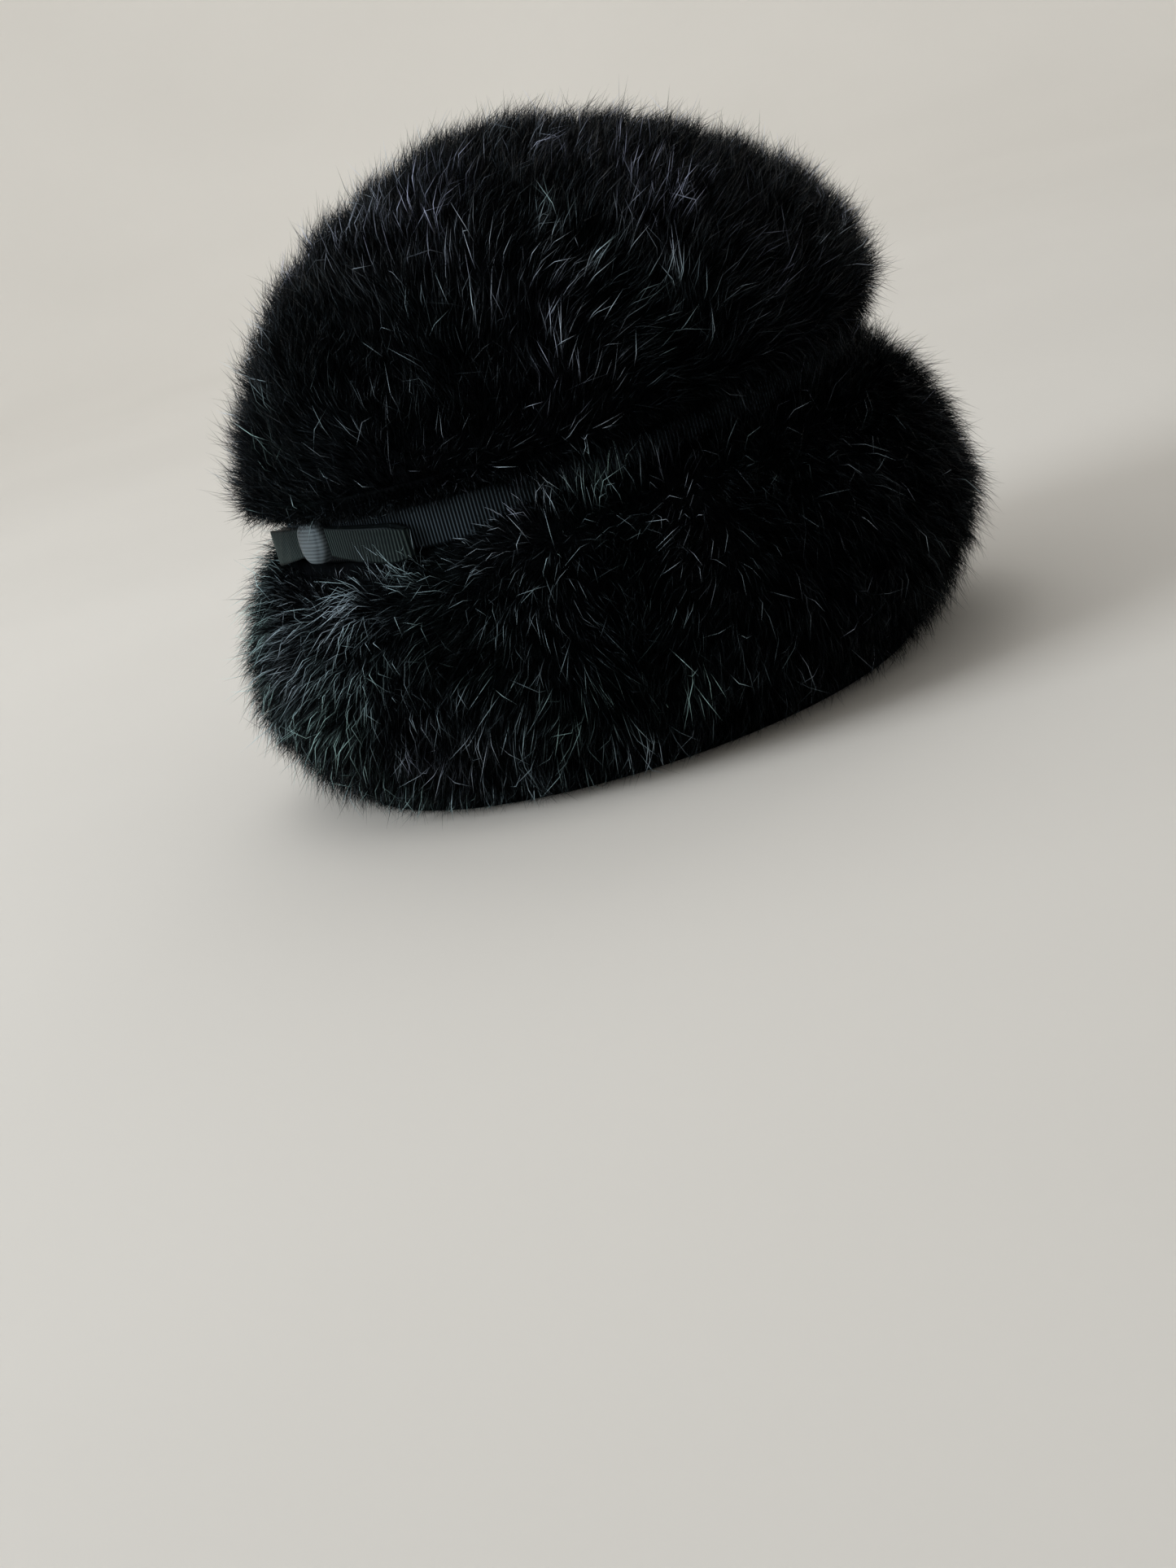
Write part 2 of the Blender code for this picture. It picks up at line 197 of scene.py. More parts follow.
# %% Locks and tufts
LOCK_COLUMNS = 80
LOCK_RISE = 0.0034
LOCK_SEED = 7
LOCK_ALONG = (0.00, 0.42, 0.84, 0.93, 1.00)
LOCK_MIDDLE = (1.00, 0.85, 0.05, 0.25, 1.00)
LOCK_EDGE = (0.15, 0.45, 0.00, 0.05, 0.15)
fullness = np.random.default_rng(LOCK_SEED).random((8, LOCK_COLUMNS // 2 + 1))
Tuft = namedtuple("Tuft", "angle height swell spread_round spread_up")
CROWN_TUFTS = (
    Tuft(math.radians(38), 0.30, 0.35, math.radians(22), 0.14),
    Tuft(math.radians(72), 0.42, -0.45, math.radians(20), 0.13),
    Tuft(math.radians(105), 0.58, 0.40, math.radians(24), 0.13),
    Tuft(math.radians(140), 0.36, -0.35, math.radians(18), 0.12),
    Tuft(math.radians(60), 0.78, 0.35, math.radians(40), 0.10),
)


def lock_relief(angle, share, rows, luck):
    """Height in shares of the lock's rise: middle and edge profiles blended across each lock."""
    row = np.minimum((share * rows).astype(int), rows - 1)
    along = share * rows - row
    column = angle / (2 * np.pi) * LOCK_COLUMNS
    lock = np.round((column + row) / 2)
    across = 1 - 2 * np.abs((column + row) / 2 - lock)
    centre = np.mod(2 * lock - row, LOCK_COLUMNS).astype(int)
    full = 0.7 + 0.6 * luck[row, np.minimum(centre, LOCK_COLUMNS - centre)]
    middle = np.interp(along, LOCK_ALONG, LOCK_MIDDLE)
    edge = np.interp(along, LOCK_ALONG, LOCK_EDGE)
    blend = across * across * (3 - 2 * across)
    return (edge + (middle - edge) * blend) * full - 0.5


def tuft_swell(angle, share):
    """Sum of Gaussian mounds, alike on both sides of the hat."""
    total = np.zeros_like(share)
    for tuft in CROWN_TUFTS:
        turned = (from_front(angle) - tuft.angle) / tuft.spread_round
        raised = (share - tuft.height) / tuft.spread_up
        total += tuft.swell * np.exp(-turned ** 2 - raised ** 2)
    return total


# %% [markdown]
# A skin is a fur surface read on a grid, with the outward normal at each point. The cloth of
# the pelt lies a little under the outer form, because the hair fills the rest.

# %% Skins
Skin = namedtuple("Skin", "points normal share angle")
PELT_COLUMNS = 240
ROWS_PER_LOCK = 9
CROWN_LAST_SHARE = 0.9985
PELT_SUNK = 0.0058


def unit(vectors):
    """Each vector divided by its length."""
    return vectors / np.maximum(np.linalg.norm(vectors, axis=-1, keepdims=True), 1e-12)


def grid_normals(points):
    """Cross product of the differences round the hat and up the wall."""
    around = np.roll(points, -1, axis=1) - np.roll(points, 1, axis=1)
    return unit(np.cross(around, np.gradient(points, axis=0)))


def make_skin(name, form, rows_of_locks, luck, fade, swell, last_share=1.0):
    """Read a form on the grid, raise its locks along the normal, and sink it under the hair."""
    share = np.linspace(0, 1, rows_of_locks * ROWS_PER_LOCK + 1)[:, None]
    share = np.minimum(share, last_share)
    share, angle = np.broadcast_arrays(share, full_turn(PELT_COLUMNS)[None, :])
    smooth = form(angle, share)
    normal = grid_normals(smooth)
    relief = lock_relief(angle, share, rows_of_locks, luck) + swell(angle, share)
    sunk = PELT_SUNK * np.clip(fade(share) * 1.6, 0, 1)
    points = smooth + normal * (LOCK_RISE * relief * fade(share) - sunk)[..., None]
    print(name, "skin:", points.shape[0], "x", points.shape[1], "points")
    return Skin(points, normal, share, angle)


def brim_fade(share):
    """0 at the rim and the crease, 1 between."""
    return np.clip(share / 0.12, 0, 1) * np.clip((1 - share) / 0.2, 0, 1)


def crown_fade(share):
    """0 at the neck, 1 over the dome, lower again at the apex."""
    return np.clip((share - 0.03) / 0.12, 0, 1) * np.clip((1 - share) / 0.3, 0.35, 1)


def no_swell(angle, share):
    """The brim has no tufts."""
    return np.zeros_like(share)


brim_skin = make_skin("brim", brim_form, 7, fullness, brim_fade, no_swell)
crown_skin = make_skin("crown", crown_form, 8, fullness[::-1], crown_fade, tuft_swell,
                       CROWN_LAST_SHARE)

# %% [markdown]
# Materials. Black fur is never one flat black: each hair is dark at its root and catches a cool
# sheen towards the tip, and patches of the pile lean grey-blue, teal or violet. Every strand
# carries its tone in a UV map, where U is the strand's tone, with painted light and shade added
# by place, and V runs from root to tip.
# The patch colour is a node group, because the pelt under the hair wears the same patches.

# %% Node helpers
FLOAT, COLOR = "NodeSocketFloat", "NodeSocketColor"


def new_material(name):
    """A node material, its tree and its Principled BSDF."""
    material = bpy.data.materials.new(name)
    material.use_nodes = True
    return material, material.node_tree, material.node_tree.nodes["Principled BSDF"]


def new_group(name, inputs, outputs):
    """A shader node group with named sockets, given as their names and kinds."""
    group = bpy.data.node_groups.new(name, "ShaderNodeTree")
    for way, sockets in (("INPUT", inputs), ("OUTPUT", outputs)):
        for socket, kind in sockets.items():
            group.interface.new_socket(socket, in_out=way, socket_type=kind)
    return group, group.nodes.new("NodeGroupInput").outputs, group.nodes.new("NodeGroupOutput")


def feed(tree, node, inputs):
    """Give each input, by its name or number, a plain value or a link from a socket."""
    for key, value in inputs.items():
        if isinstance(value, bpy.types.NodeSocket):
            tree.links.new(value, node.inputs[key])
        else:
            node.inputs[key].default_value = value


def add(tree, kind, inputs, **properties):
    """Add a node, set its properties, feed its inputs and give its outputs."""
    node = tree.nodes.new(kind)
    for key, value in properties.items():
        setattr(node, key, value)
    feed(tree, node, inputs)
    return node.outputs


def object_place(tree):
    return add(tree, "ShaderNodeTexCoord", {})["Object"]


def noise(tree, place, scale, detail):
    inputs = {"Vector": place, "Scale": scale, "Detail": detail}
    return add(tree, "ShaderNodeTexNoise", inputs)["Fac"]


def ramp(tree, share, stops):
    """The colour that (position, colour) stops give a share."""
    colour = add(tree, "ShaderNodeValToRGB", {"Fac": share})["Color"]
    elements = colour.node.color_ramp.elements
    while len(elements) < len(stops):
        elements.new(0.5)
    for element, (position, tint) in zip(elements, stops):
        element.position = position
        element.color = (*tint, 1.0)
    return colour


def map_range(tree, value, from_low, from_high, to_low=0.0, to_high=1.0):
    """A clamped straight line from one range to another."""
    inputs = {"Value": value, "From Min": from_low, "From Max": from_high,
              "To Min": to_low, "To Max": to_high}
    return add(tree, "ShaderNodeMapRange", inputs)["Result"]


def calculate(tree, operation, first, second, clamp=False):
    return add(tree, "ShaderNodeMath", {0: first, 1: second}, operation=operation,
               use_clamp=clamp)["Value"]


def scaled(tree, colour, factor):
    return add(tree, "ShaderNodeVectorMath", {0: colour, "Scale": factor},
               operation="SCALE")["Vector"]


def bumped(tree, height, strength, distance):
    inputs = {"Height": height, "Strength": strength, "Distance": distance}
    return add(tree, "ShaderNodeBump", inputs)["Normal"]


# %% Patch colour of the pile
HUE_DRIFT = (0.0, -0.8, 1.2)
HUE_TINTS = [(0.38, (0.58, 0.88, 0.88)), (0.52, (0.62, 0.83, 0.95)),
             (0.64, (0.70, 0.82, 0.96)), (0.80, (0.66, 0.73, 1.00))]
PATCH_SCALES = {"Hue Scale": 22.0, "Light Scale": 27.0}
LIGHT_RANGE = (0.38, 0.64, 0.14, 2.4)


def make_pile_patches():
    """Cool black in patches: noise plus a drift chooses teal low at the back, violet on top."""
    group, given, result = new_group("pile patches", {"Hue Scale": FLOAT, "Light Scale": FLOAT},
                                     {"Color": COLOR, "Light": FLOAT})
    place = object_place(group)
    hue = noise(group, place, given["Hue Scale"], 2.0)
    drift = add(group, "ShaderNodeVectorMath", {0: place, 1: HUE_DRIFT},
                operation="DOT_PRODUCT")["Value"]
    light = noise(group, place, given["Light Scale"], 3.0)
    feed(group, result, {"Color": ramp(group, calculate(group, "ADD", hue, drift), HUE_TINTS),
                         "Light": map_range(group, light, *LIGHT_RANGE)})
    return group


pile_patches = make_pile_patches()
print("group:", pile_patches.name)

# %% Colour along a strand
STRAND_MAP = "strand"
ROOT_TO_TIP = (0.15, 0.85, 0.12, 1.0)
BODY_TONES = (0.3, 0.85)


def make_strand_colour():
    """(Dark to Middle by the tone, plus Peak times the square of what tops Peak From) times
    the way from root to tip, the patch's light and the patch's colour."""
    tones = ("Dark", "Middle", "Peak", "Peak From")
    group, given, result = new_group("strand colour", dict.fromkeys(tones, FLOAT),
                                     {"Color": COLOR})
    strand = add(group, "ShaderNodeUVMap", {}, uv_map=STRAND_MAP)["UV"]
    split = add(group, "ShaderNodeSeparateXYZ", {"Vector": strand})
    along = map_range(group, split["Y"], *ROOT_TO_TIP)
    body = map_range(group, split["X"], *BODY_TONES, given["Dark"], given["Middle"])
    over = map_range(group, split["X"], given["Peak From"], 1.0)
    squared = calculate(group, "MULTIPLY", over, over)
    shine = calculate(group, "MULTIPLY", squared, given["Peak"])
    patches = add(group, "ShaderNodeGroup", PATCH_SCALES, node_tree=pile_patches)
    strength = calculate(group, "MULTIPLY", calculate(group, "ADD", body, shine), along)
    strength = calculate(group, "MULTIPLY", strength, patches["Light"], clamp=True)
    feed(group, result, {"Color": scaled(group, patches["Color"], strength)})
    return group


strand_colour = make_strand_colour()
print("group:", strand_colour.name)

# %% Hair, pelt and backing
HAIR_GLOSS_TINT = (0.60, 0.82, 1.0, 1.0)
PELT_TONE = 0.004
FIBRE_STRETCH = (1.0, 1.0, 0.22)
FIBRE_SCALE = 900.0
WEAVE_SCALE = 300.0
BACKING_TONES = [(0.0, (0.006, 0.006, 0.007)), (1.0, (0.022, 0.023, 0.026))]


def make_hair_material(name, roughness, gloss, tones):
    """The strand colour with this hair's own tones, and a cool gloss."""
    material, tree, shader = new_material(name)
    colour = add(tree, "ShaderNodeGroup", tones, node_tree=strand_colour)["Color"]
    feed(tree, shader, {"Base Color": colour, "Roughness": roughness,
                        "Specular IOR Level": gloss, "Specular Tint": HAIR_GLOSS_TINT})
    return material


def make_pelt_material():
    """Almost black, with the patches and a fine fibrous bump, for what shows between hairs."""
    material, tree, shader = new_material("pelt")
    patches = add(tree, "ShaderNodeGroup", PATCH_SCALES, node_tree=pile_patches)
    stretched = add(tree, "ShaderNodeMapping",
                    {"Vector": object_place(tree), "Scale": FIBRE_STRETCH})["Vector"]
    fibre = noise(tree, stretched, FIBRE_SCALE, 2.0)
    feed(tree, shader, {"Base Color": scaled(tree, patches["Color"], PELT_TONE),
                        "Normal": bumped(tree, fibre, strength=0.6, distance=0.0012),
                        "Roughness": 0.8, "Specular IOR Level": 0.0})
    return material


def make_backing_material():
    """The fur cloth's plain black backing: a close weave of two crossing waves, very matt."""
    material, tree, shader = new_material("backing")
    inputs = {"Vector": object_place(tree), "Scale": WEAVE_SCALE, "Distortion": 0.6}
    warp, weft = (add(tree, "ShaderNodeTexWave", inputs, bands_direction=direction)["Fac"]
                  for direction in ("Z", "DIAGONAL"))
    woven = calculate(tree, "MULTIPLY", warp, weft)
    feed(tree, shader, {"Base Color": ramp(tree, woven, BACKING_TONES),
                        "Normal": bumped(tree, woven, strength=0.5, distance=0.0004),
                        "Roughness": 0.85, "Specular IOR Level": 0.25})
    return material


under_fur_look = make_hair_material(
    "under_fur", 0.42, 0.03, {"Dark": 0.0010, "Middle": 0.003, "Peak": 0.12, "Peak From": 0.86})
guard_hair_look = make_hair_material(
    "guard_hair", 0.26, 0.26, {"Dark": 0.002, "Middle": 0.012, "Peak": 1.00, "Peak From": 0.66})
pelt_look = make_pelt_material()
backing_look = make_backing_material()
print("fur materials:", under_fur_look.name, guard_hair_look.name, pelt_look.name)

# %% [markdown]
# The pelts. Each is one closed shell: the fur side from the skin, and a plain inner side, which
# wears the backing material. The brim's section is a ring, so its rows of points close on
# themselves. The crown's rows run from the pole inside the dome, down, round the foot of the
# neck and up to the apex outside.

# %% Mesh helpers
def grid_quads(rows, columns, closed_rows):
    """Corner numbers of a grid's quads; columns always close, rows only where asked."""
    row, column = np.meshgrid(np.arange(rows if closed_rows else rows - 1),
                              np.arange(columns), indexing="ij")
    above = (row + 1) % rows
    beside = (column + 1) % columns
    quads = np.stack([row * columns + column, row * columns + beside,
                      above * columns + beside, above * columns + column], axis=-1)
    return quads.reshape(-1, 4)


def pole_fans(rows, columns):
    """Triangles from the first row to a pole and from the last row to another. The two poles
    are the points after the grid's."""
    column = np.arange(columns)
    beside = (column + 1) % columns
    top = (rows - 1) * columns
    low_pole = np.full(columns, rows * columns)
    low_fan = np.stack([beside, column, low_pole], axis=-1)
    high_fan = np.stack([top + column, top + beside, low_pole + 1], axis=-1)
    return [low_fan, high_fan]


def fill_mesh(name, points, faces, materials, slots=None):
    """A mesh object from arrays; faces is a list of arrays with one corner count each."""
    mesh = bpy.data.meshes.new(name)
    sizes = np.concatenate([np.full(len(part), part.shape[1]) for part in faces])
    corners = np.concatenate([part.ravel() for part in faces]).astype(np.int32)
    starts = np.concatenate([[0], np.cumsum(sizes)[:-1]]).astype(np.int32)
    mesh.vertices.add(len(points))
    mesh.vertices.foreach_set("co", points.astype(np.float32).ravel())
    mesh.loops.add(len(corners))
    mesh.loops.foreach_set("vertex_index", corners)
    mesh.polygons.add(len(sizes))
    mesh.polygons.foreach_set("loop_start", starts)
    if slots is not None:
        mesh.polygons.foreach_set("material_index", slots.astype(np.int32))
    mesh.polygons.foreach_set("use_smooth", np.ones(len(sizes), dtype=bool))
    for material in materials:
        mesh.materials.append(material)
    mesh.update(calc_edges=True)
    piece = bpy.data.objects.new(name, mesh)
    bpy.context.collection.objects.link(piece)
    return piece


def dress(piece, slot, *nodes):
    """Every piece rides on the hat's one body and may stand for nodes; its slot is not used."""
    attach(piece, "root")
    if nodes:
        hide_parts(*nodes)
    triangles = sum(len(polygon.vertices) - 2 for polygon in piece.data.polygons)
    print(piece.name, "triangles:", triangles)


# %% Brim pelt
def make_brim_pelt():
    """Skin rows, then the crown's seat, the inner wall and the flat rim."""
    angle = brim_skin.angle[0]
    seat = crease_height(angle) - SEAT_DEPTH
    outside = brim_skin.points.copy()
    outside[-1] = oval(angle, SEAT_WIDTH, outside[-1, :, 2])
    inside = [oval(angle, SEAT_WIDTH, seat), oval(angle, 0.0, seat)]
    inside += [oval(angle, 0.0, seat * share) for share in np.linspace(0.85, 0.0, 6)]
    rows = np.concatenate([outside, np.array(inside)])
    quads = grid_quads(len(rows), PELT_COLUMNS, True)
    slots = (np.arange(len(quads)) // PELT_COLUMNS > len(outside)).astype(int)
    return fill_mesh("brim_pelt", rows.reshape(-1, 3), [quads], [pelt_look, backing_look], slots)


brim_pelt = make_brim_pelt()
dress(brim_pelt, "fur", "brim")


# %% Crown pelt
def make_crown_pelt():
    """Inner dome from its pole down to the foot, then the neck and the skin up to the apex."""
    angle = crown_skin.angle[0]
    foot_height = crease_height(angle) - SEAT_DEPTH + CLEARANCE
    neck_top = crease_height(angle) + NECK_RISE
    belly = crown_belly_height(angle)
    inner_top = APEX_HEIGHT - FUR_CLOTH
    wide = HEAD_HALF_WIDTH + CROWN_STANDOUT + CROWN_FRONT_MORE * np.cos(angle)
    inside = [oval(angle, 0.0, foot_height), oval(angle, 0.0, neck_top)]
    for share in np.arange(12) / 12:
        inward, up = quarter(2.0, share, False)
        scale = (1 - FUR_CLOTH / wide) * (1 - inward)
        inside.append(dome_point(angle, scale, belly + (inner_top - belly) * up))
    foot = oval(angle, NECK_WALL, foot_height)
    rows = np.concatenate([np.array(inside[::-1]), foot[None], crown_skin.points])
    count, columns = rows.shape[:2]
    quads = grid_quads(count, columns, False)
    inner_pole = dome_point(np.zeros(1), np.zeros(1), np.full(1, inner_top))
    outer_pole = crown_skin.points[-1].mean(axis=0)[None]
    points = np.concatenate([rows.reshape(-1, 3), inner_pole, outer_pole])
    slots = np.concatenate([(np.arange(len(quads)) // columns < len(inside)).astype(int),
                            np.ones(columns), np.zeros(columns)])
    return fill_mesh("crown_pelt", points, [quads, *pole_fans(count, columns)],
                     [pelt_look, backing_look], slots)


crown_pelt = make_crown_pelt()
dress(crown_pelt, "fur", "crown")

# %% [markdown]
# The hair. Strands are joined into a few large meshes, made from whole arrays. Under-fur is
# dense and short, and each strand is a straight closed spike of four triangles. Guard hairs are
# longer and bend over, with one joint each, and a few stray hairs stand off in all directions.
# A strand's root is a random point of the skin. Its tip is the root moved out along the normal
# and along the comb, which runs up and forward over the crown, and down and a little back over
# the brim. A smooth swirl turns the comb, so that it differs from tuft to tuft, and strands of
# one clump lean together.

# %% Scatter and comb
CLUMP_SIZE = 0.0062
SWIRL_WAVES = 9
SWIRL_PITCH = 0.034
CROWN_COMB_AT_BACK = np.array([0.0, -0.58, 0.80])
CROWN_COMB_AT_FRONT = np.array([0.0, -0.95, 0.28])
BRIM_COMB = np.array([0.0, 0.42, -0.92])
BOW_HALF_ANGLE = math.radians(29)
RIBBON_SHOWN_TO = math.radians(42)
RIBBON_HIDDEN_FROM = math.radians(55)


def hash_share(a, b, salt):
    """A repeatable pseudo-random share for a pair of whole numbers."""
    value = np.sin(a * 12.9898 + b * 78.233 + salt * 37.719) * 43758.5453
    return value - np.floor(value)


def scatter(skin, count, rng, density):
    """Random places on the skin, by area times density: grid cells, then a place in each."""
    corner = skin.points
    right = np.roll(corner, -1, axis=1)
    area = np.linalg.norm(np.cross(right[:-1] - corner[:-1], corner[1:] - corner[:-1]), axis=-1)
    area = area * density(skin.share, skin.angle)[:-1]
    weight = area.ravel() / area.sum()
    cell = rng.choice(len(weight), size=count, p=weight)
    row, column = np.divmod(cell, skin.points.shape[1])
    return row + rng.random(count), column + rng.random(count)


def read(field, row, column):
    """Bilinear value of a grid field at fractional rows and columns; columns wrap."""
    rows, columns = field.shape[:2]
    low = np.clip(row.astype(int), 0, rows - 2)
    left = column.astype(int) % columns
    right = (left + 1) % columns
    up = (row - low)[:, None]
    over = (column - np.floor(column))[:, None]
    below = field[low, left] * (1 - over) + field[low, right] * over
    above = field[low + 1, left] * (1 - over) + field[low + 1, right] * over
    return below * (1 - up) + above * up


# %% Swirl and clumps
def swirl(points, seed):
    """A smooth angle over space: a sum of sine waves in random directions."""
    rng = np.random.default_rng(seed)
    total = np.zeros(len(points))
    for _ in range(SWIRL_WAVES):
        direction = rng.normal(size=3)
        direction *= 2 * np.pi / SWIRL_PITCH / np.linalg.norm(direction) * rng.uniform(0.5, 1.7)
        total += np.sin(points @ direction + rng.uniform(0, 2 * np.pi))
    return total / math.sqrt(SWIRL_WAVES / 2)


def smooth_step(value, low, high):
    """0 below low, 1 above high, and a cubic between them."""
    share = np.clip((value - low) / (high - low), 0, 1)
    return share * share * (3 - 2 * share)


def clump_centres(skin, row, column):
    """The grid place of each strand's clump centre: cells of about the clump's size, jittered."""
    rows, columns = skin.points.shape[:2]
    height = np.linalg.norm(np.diff(skin.points, axis=0), axis=-1).sum(axis=0).mean()
    bands = max(2, round(height / CLUMP_SIZE))
    band = np.minimum((row / (rows - 1) * bands).astype(int), bands - 1)
    step = np.roll(skin.points, -1, axis=1) - skin.points
    girth = np.linalg.norm(step, axis=-1).sum(axis=1)
    band_girth = np.interp((np.arange(bands) + 0.5) / bands * (rows - 1), np.arange(rows), girth)
    cells = np.maximum(5, np.round(band_girth / CLUMP_SIZE)).astype(int)[band]
    stagger = hash_share(band, 0, 1.0)
    cell = np.floor(column / columns * cells + stagger).astype(int)
    shift_up = 0.7 * (hash_share(band, cell % cells, 2.0) - 0.5)
    shift_round = 0.7 * (hash_share(band, cell % cells, 3.0) - 0.5)
    centre_row = np.clip((band + 0.5 + shift_up) / bands * (rows - 1), 0, rows - 1.001)
    centre_column = ((cell + 0.5 + shift_round - stagger) / cells * columns) % columns
    return centre_row, centre_column, hash_share(band, cell % cells, 4.0)


# %% [markdown]
# At the back the ribbon shows, so the hair beside it is short. Further forward the crease
# closes: there the brim's hair stands up and the crown's hair hangs out over the ribbon.

# %% Lengths and comb of each part
CROWN_DROP = 0.67
FALLING = np.array([0.0, 0.08, -1.0])


def closing(angle):
    """0 where the ribbon shows, 1 where the hair covers it."""
    return smooth_step(from_back(angle), RIBBON_SHOWN_TO, RIBBON_HIDDEN_FROM)


def crown_length(share, angle):
    """Short under the belly where the ribbon shows, full over the dome."""
    low = 0.30 + 0.52 * closing(angle)
    return low + (1 - low) * smooth_step(share, 0.05, 0.16)


def brim_length(share, angle):
    """Short at the rim and under the bow, and long at the crease where it closes."""
    beside_bow = smooth_step(from_back(angle), BOW_HALF_ANGLE, RIBBON_SHOWN_TO)
    crest = 0.42 + 0.05 * beside_bow + 0.56 * closing(angle)
    rim = 0.40 + 0.60 * smooth_step(share, 0.0, 0.16)
    return rim + (crest - rim) * smooth_step(share, 0.84, 0.97)


def crown_comb(share, angle, normal):
    """Up and forward along the skin, more forward at the front, but down beside the ribbon."""
    front = (0.5 + 0.5 * np.cos(angle) * (1 - share))[:, None]
    wanted = CROWN_COMB_AT_BACK * (1 - front) + CROWN_COMB_AT_FRONT * front
    level = wanted - normal * (normal * wanted).sum(axis=1, keepdims=True)
    drop = normal * normal[:, 2:] * CROWN_DROP - np.array([0, 0, CROWN_DROP])
    under = (1 - smooth_step(share, 0.03, 0.18))[:, None]
    return level * (1 - under) + drop * under


def brim_comb(share, angle, normal):
    """Down and a little back along the skin, but up at the crease where it closes."""
    level = BRIM_COMB - normal * (normal @ BRIM_COMB)[:, None]
    rising = closing(angle) * smooth_step(share, 0.78, 0.95)
    return level * (1 - 1.85 * rising)[:, None]


def rising_comb(share, angle, normal):
    """The other way from the brim's: up over the ribbon and the bow's end."""
    return -brim_comb(share, angle, normal)


def falling_comb(share, angle, normal):
    """Straight down along the skin."""
    return FALLING - normal * (normal @ FALLING)[:, None]


# %% [markdown]
# The pile is not equally bright all round, and this is painted light and shade in the strands'
# tones: brighter at the back of the brim, darker towards the front and under the crown's belly.
# The painted light is what is added to a strand's tone. Density says where a growth has its
# strands: some have all of theirs in one place, such as the pale tuft that stands out below the
# bow. Angles from the back are in radians here, and the places of the tuft and the tangle in
# degrees.

# %% Painted light and density
TUFT_AT = 192.0
TANGLE_AT = 199.0


def mound(value, middle, spread):
    """exp(-((value - middle) / spread) squared)."""
    return np.exp(-((value - middle) / spread) ** 2)


def crown_painted_light(share, angle):
    """Painted light and shade: brighter in a band over the dome, darker under the belly and low at
    the back.
    """
    low_back = mound(from_back(angle), 0.0, math.radians(55)) * mound(share, 0.34, 0.22)
    side = mound(from_back(angle), 1.35, 0.55) * mound(share, 0.45, 0.20)
    under = 1 - smooth_step(share, 0.08, 0.26)
    high = mound(share, 0.66, 0.20)
    return 0.05 * high + 0.08 * side - 0.15 * under - 0.12 * low_back - 0.05


def brim_painted_light(share, angle):
    """Painted light and shade: brighter at the back and a little along the crest, darker towards
    the front.
    """
    away = from_back(angle)
    lit = 0.20 * mound(away, 0.0, math.radians(34)) * mound(share, 0.62, 0.30)
    crest = mound(share, 0.95, 0.12) * (0.05 + 0.16 * mound(away, 1.0, 0.4))
    return lit + crest - 0.22 * smooth_step(away, 0.6, 2.3)


def pale_tone_and_painted_light(share, angle):
    """Pale strands, made less pale towards the front by painted shade."""
    return 0.42 - 0.25 * smooth_step(from_back(angle), 0.9, 2.0)


def full(share, angle):
    """1 all over: an even density, or the whole length."""
    return np.ones_like(share)


def below_bow(share, angle):
    """One narrow place on the brim, to the right of the knot and below it."""
    return mound(np.degrees(angle), TUFT_AT, 1.7) * mound(share, 0.84, 0.05)


def round_bow_end(share, angle):
    """The brim's crest near the end of the right loop."""
    return mound(np.degrees(angle), TANGLE_AT, 4.5) * smooth_step(share, 0.88, 0.96)


# %% Grow
Coat = namedtuple("Coat", "length rise lean swirl_turn jitter clump width bent")
UNDER_FUR = Coat(0.0102, 0.78, 0.76, 0.36, 0.26, 0.16, 0.00027, False)
GUARD_HAIR = Coat(0.0148, 0.76, 0.88, 0.38, 0.28, 0.09, 0.00018, True)
STRAY_HAIR = Coat(0.0165, 0.62, 0.55, 0.36, 0.80, 0.00, 0.00017, True)
PALE_TUFT = Coat(0.0210, 0.50, 1.05, 0.04, 0.15, 0.00, 0.00018, True)
LENGTH_LUCK, RISE_LUCK = (0.70, 1.18), (0.72, 1.18)
LEAN_LUCK, WIDTH_LUCK = (0.6, 1.4), (0.75, 1.2)
SWIRL_SEED = 3
FLOOR_CLEARANCE = 0.0004


def grow(skin, count, coat, seed, comb_of, length_of, density, painted_light_of):
    """Roots, joints and tips of strands, with their widths and tones."""
    rng = np.random.default_rng(seed)
    row, column = scatter(skin, count, rng, density)
    share = read(skin.share[..., None], row, column)[:, 0]
    angle = column * 2 * np.pi / PELT_COLUMNS
    normal = unit(read(skin.normal, row, column))
    root = read(skin.points, row, column)
    comb = comb_of(share, angle, normal)
    turn = coat.swirl_turn * swirl(root, SWIRL_SEED)
    comb = comb * np.cos(turn)[:, None] + np.cross(normal, comb) * np.sin(turn)[:, None]
    centre_row, centre_column, clump_luck = clump_centres(skin, row, column)
    gather = coat.clump * (read(skin.points, centre_row, centre_column) - root)
    length = coat.length * length_of(share, angle) * rng.uniform(*LENGTH_LUCK, count)
    length *= 0.90 + 0.20 * clump_luck
    rise = coat.rise * rng.uniform(*RISE_LUCK, count)
    lean = coat.lean * (0.85 + 0.3 * clump_luck) * rng.uniform(*LEAN_LUCK, count)
    stray = rng.normal(size=(count, 3)) * coat.jitter
    start = unit(normal * (rise * 1.15)[:, None] + comb * (lean * 0.55)[:, None] + stray * 0.5)
    finish = unit(normal * (rise * 0.85)[:, None] + comb * (lean * 1.35)[:, None] + stray * 1.3)
    joint = root + start * (0.5 * length)[:, None] + 0.4 * gather
    tip = joint + finish * (0.5 * length)[:, None] + 0.6 * gather
    for place in (root, joint, tip):
        place[:, 2] = np.maximum(place[:, 2], FLOOR_CLEARANCE)
    # Tone: random, plus painted light and shade by place on the hat.
    tone = np.clip(rng.random(count) * (0.8 + 0.3 * clump_luck) + painted_light_of(share, angle), 0, 1)
    return root, joint, tip, coat.width * rng.uniform(*WIDTH_LUCK, count), tone


